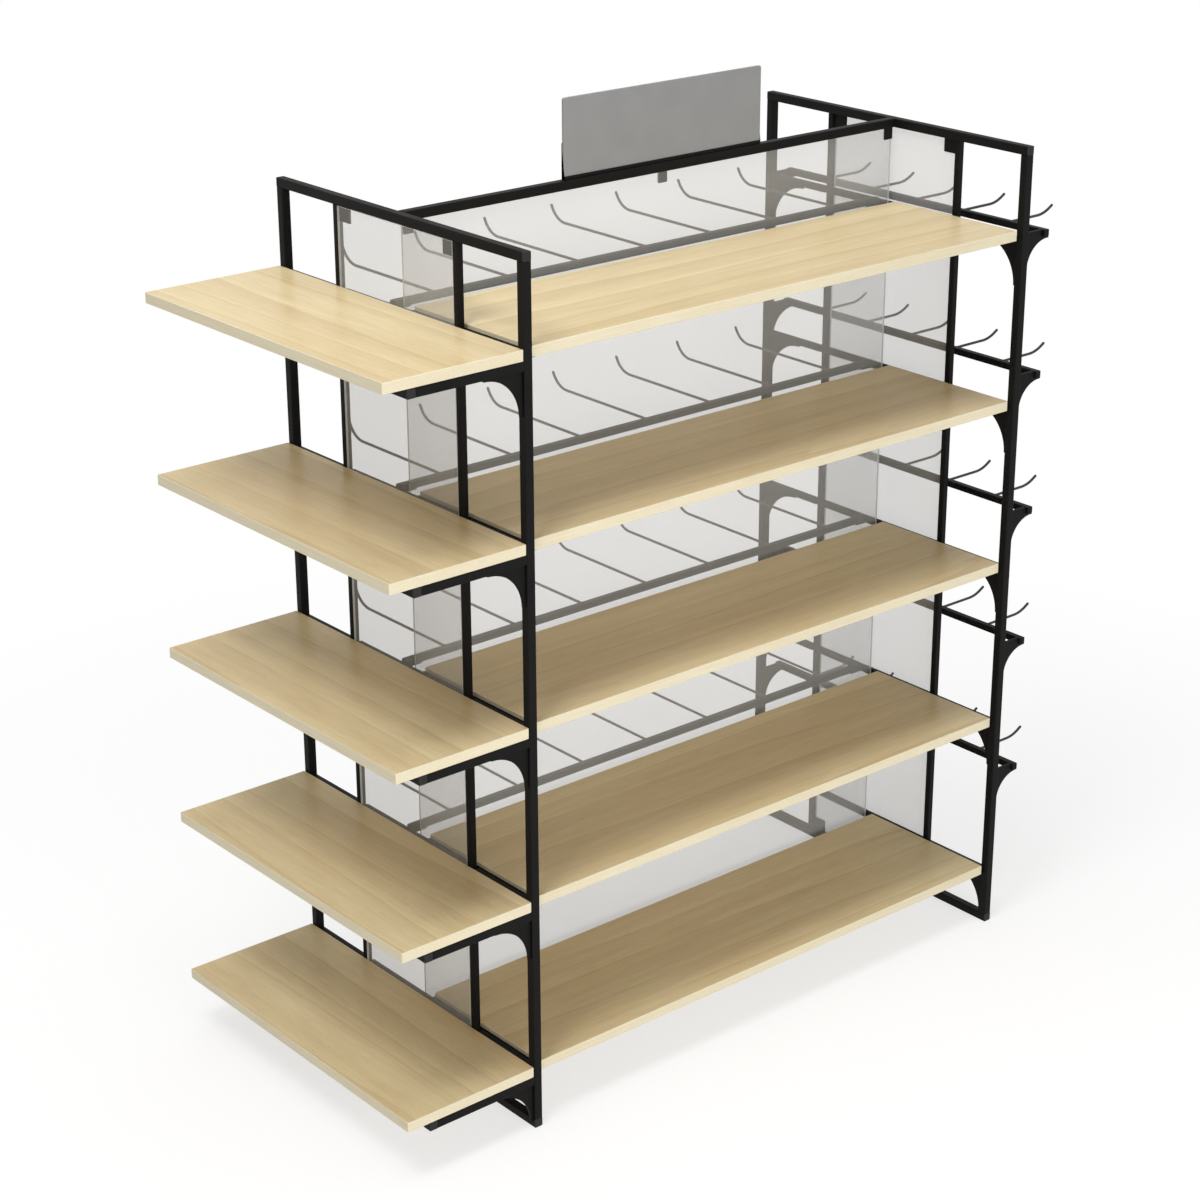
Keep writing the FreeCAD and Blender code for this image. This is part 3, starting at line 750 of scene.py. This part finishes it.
def ledge_angles():
    """Rolled angles on the crossbars' inner faces, with the flat leg under the front boards."""
    low, high = box_of("shelf_ledges")
    outside, thickness = high[0], LEDGE_THICKNESS
    near, far = outside - thickness, outside - LEDGE_WIDTH
    outline = soften([
        (far, -thickness), (outside, -thickness), (outside, inner_tube),
        (near, inner_tube), (near, 0), (far, 0),
    ], ANGLE_ROUNDING * thickness)
    shells = [
        plate_shell("Y", outline * (sign, 1) + (0, z), low[1], high[1])
        for sign in SIGNS for z in board_low
    ]
    steel_piece("ledge_angles", shells, "shelf_ledges")


def channel_outline(left, right, bottom, left_top, right_top, wall):
    """A folded channel: a floor between two walls whose rims may differ in height."""
    return soften([
        (left, bottom), (right, bottom), (right, right_top), (right - wall, right_top),
        (right - wall, bottom + wall), (left + wall, bottom + wall),
        (left + wall, left_top), (left, left_top),
    ], FOLD_ROUNDING * wall)


def saddle_folds():
    """Saddles of folded sheet that hold the ends of the back bars."""
    low, high = box_of("back_bar_saddles")
    seats = [box_of("back_hook_bar_%d" % level)[0][2] for level in BACK_LEVELS]
    top = high[2] - seats[0]
    outline = channel_outline(low[1], high[1], -SADDLE_WALL, top, top, SADDLE_WALL)
    shells = [
        plate_shell("X", outline + (0, z), x, x + SADDLE_LENGTH)
        for x in (low[0], high[0] - SADDLE_LENGTH) for z in seats
    ]
    steel_piece("saddle_folds", shells, "back_bar_saddles")


def sheet_fixings():
    """Clips of the centre sheet and tabs of the end sheets: flat plates with rounded corners."""
    low, high = box_of("centre_panel_clips")
    width, height = CLIP_SIZE
    size = np.array([width, CLIP_THICKNESS, height])
    places = ((low[0], low[1]), (high[0] - width, low[1]), (-width / 2, high[1] - CLIP_THICKNESS))
    shells = [
        bar_shell("Y", (x, y, z), (x, y, z) + size, CLIP_CORNER, PLATE_ROUNDING)
        for x, y in places for z in (low[2], high[2] - height)
    ]
    steel_piece("sheet_clips", shells, "centre_panel_clips")

    low, high = box_of("end_panel_tabs")
    width, height = TAB_SIZE
    size = np.array([CLIP_THICKNESS, width, height])
    shells = [
        bar_shell("X", (x, y, z), (x, y, z) + size, CLIP_CORNER, PLATE_ROUNDING)
        for x in (low[0], high[0] - CLIP_THICKNESS) for y in (low[1], high[1] - width)
        for z in (low[2], high[2] - height)
    ]
    steel_piece("sheet_tabs", shells, "end_panel_tabs")


def sheets():
    """Frosted sheets: rounded plates whose two faces are satin and whose rim is a brighter cut edge."""
    for node, axis in (("centre_panel", "Y"), ("left_end_panel", "X"), ("right_end_panel", "X")):
        shell = bar_shell(axis, *box_of(node), SHEET_CORNER, SHEET_ROUNDING)
        piece = make_piece(node + "_sheet", [shell], [sheet_rim, frosted], end_slot=1)
        dress(piece, "frame", "frosted_sheet", node)


def header():
    """The header board with rounded corners, and its folded holder with a low lip in front."""
    shell = bar_shell("Y", *box_of("header_board"), HEADER_CORNER, HEADER_ROUNDING)
    dress(make_piece("header_plate", [shell], [grey]), "header_board", "grey_board", "header_board")
    low, high = box_of("header_holder")
    outline = channel_outline(low[1], high[1], low[2], low[2] + HOLDER_LIP, high[2], HOLDER_WALL)
    steel_piece("header_holder_fold", [plate_shell("X", outline, low[0], high[0])], "header_holder")


end_frame_tubes()
crossbar_tubes()
arm_tubes()
caps()
boards()
hook_bars()
hooks()
gussets()
bracket_plates()
ledge_angles()
saddle_folds()
sheet_fixings()
sheets()
header()

# Stage, light and camera


def seen_rays(owner):
    """1 for rays that see the background directly or through gloss and glass."""
    path = add_node(owner, "ShaderNodeLightPath")
    first = add_node(owner, "ShaderNodeMath", {"operation": "MAXIMUM"},
                     i0=path.outputs["Is Camera Ray"], i1=path.outputs["Is Glossy Ray"])
    both = add_node(owner, "ShaderNodeMath", {"operation": "MAXIMUM"},
                    i0=first.outputs[0], i1=path.outputs["Is Transmission Ray"])
    return both.outputs[0]


def floor():
    """A pale floor that keeps the soft shadow near the object and fades to plain white around it."""
    corners = FLOOR_HALF * np.array([(-1, -1, 0), (1, -1, 0), (1, 1, 0), (-1, 1, 0)])
    mesh = bpy.data.meshes.new("floor")
    mesh.from_pydata(corners.tolist(), [], [(0, 1, 2, 3)])
    plane = bpy.data.objects.new("floor", mesh)
    bpy.context.scene.collection.objects.link(plane)
    material, shader = new_material("floor")
    material.node_tree.nodes.remove(shader)
    length = add_node(
        material, "ShaderNodeVectorMath", {"operation": "LENGTH"}, i0=object_point(material))
    away = spread(
        material, length.outputs["Value"], low=0.0, high=1.0, start=FADE_START, stop=FADE_STOP)
    bounce = add_node(material, "ShaderNodeBsdfDiffuse", Color=FLOOR_BOUNCE)
    pale = add_node(material, "ShaderNodeBsdfDiffuse", Color=FLOOR_PALE)
    glow = add_node(material, "ShaderNodeEmission", Strength=FLOOR_GLOW)
    near = add_node(material, "ShaderNodeAddShader", i0=pale.outputs[0], i1=glow.outputs[0])
    white = add_node(material, "ShaderNodeEmission", Strength=1.0)
    seen = add_node(material, "ShaderNodeMixShader", i0=away, i1=near.outputs[0], i2=white.outputs[0])
    mixed = add_node(material, "ShaderNodeMixShader", i0=seen_rays(material),
                     i1=bounce.outputs[0], i2=seen.outputs[0])
    link(material, mixed.outputs[0], material.node_tree.nodes["Material Output"].inputs["Surface"])
    mesh.materials.append(material)


def world_light():
    """White surroundings to the eye, and a softer even light on the object."""
    world = bpy.data.worlds.new("studio")
    world.use_nodes = True
    bpy.context.scene.world = world
    background = world.node_tree.nodes["Background"]
    strength = spread(world, seen_rays(world), low=AMBIENT, high=1.0, start=0.0, stop=1.0)
    link(world, strength, background.inputs["Strength"])
    background.inputs["Color"].default_value = WHITE


def soft_box(name, place, target, side, watts):
    """A square area lamp at a place, turned to a target."""
    lamp = bpy.data.lights.new(name, "AREA")
    lamp.size = side
    lamp.energy = watts
    light = bpy.data.objects.new(name, lamp)
    bpy.context.scene.collection.objects.link(light)
    light.location = place
    light.rotation_mode = "QUATERNION"
    light.rotation_quaternion = (Vector(target) - Vector(place)).to_track_quat("-Z", "Y")


def camera():
    """The photograph's camera: its direction from azimuth and elevation, then turned by the roll."""
    data = bpy.data.cameras.new("camera")
    data.sensor_width = SENSOR
    data.lens = FOCAL_PIXELS / PICTURE_SIDE * SENSOR
    data.clip_end = VIEW_DEPTH
    a, e, roll = (math.radians(v) for v in (CAMERA_AZIMUTH, CAMERA_ELEVATION, CAMERA_ROLL))
    back = Vector((math.sin(a) * math.cos(e), -math.cos(a) * math.cos(e), math.sin(e)))
    right = Vector((math.cos(a), math.sin(a), 0))
    up = back.cross(right)
    turned_right = right * math.cos(roll) - up * math.sin(roll)
    turned_up = right * math.sin(roll) + up * math.cos(roll)
    turn = Matrix((turned_right, turned_up, back)).transposed().to_4x4()
    eye = bpy.data.objects.new("camera", data)
    bpy.context.scene.collection.objects.link(eye)
    eye.matrix_world = Matrix.Translation(CAMERA_PLACE) @ turn
    bpy.context.scene.camera = eye


floor()
world_light()
for lamp in SOFT_BOXES:
    soft_box(*lamp)
camera()
bpy.context.scene.view_settings.view_transform = "Standard"
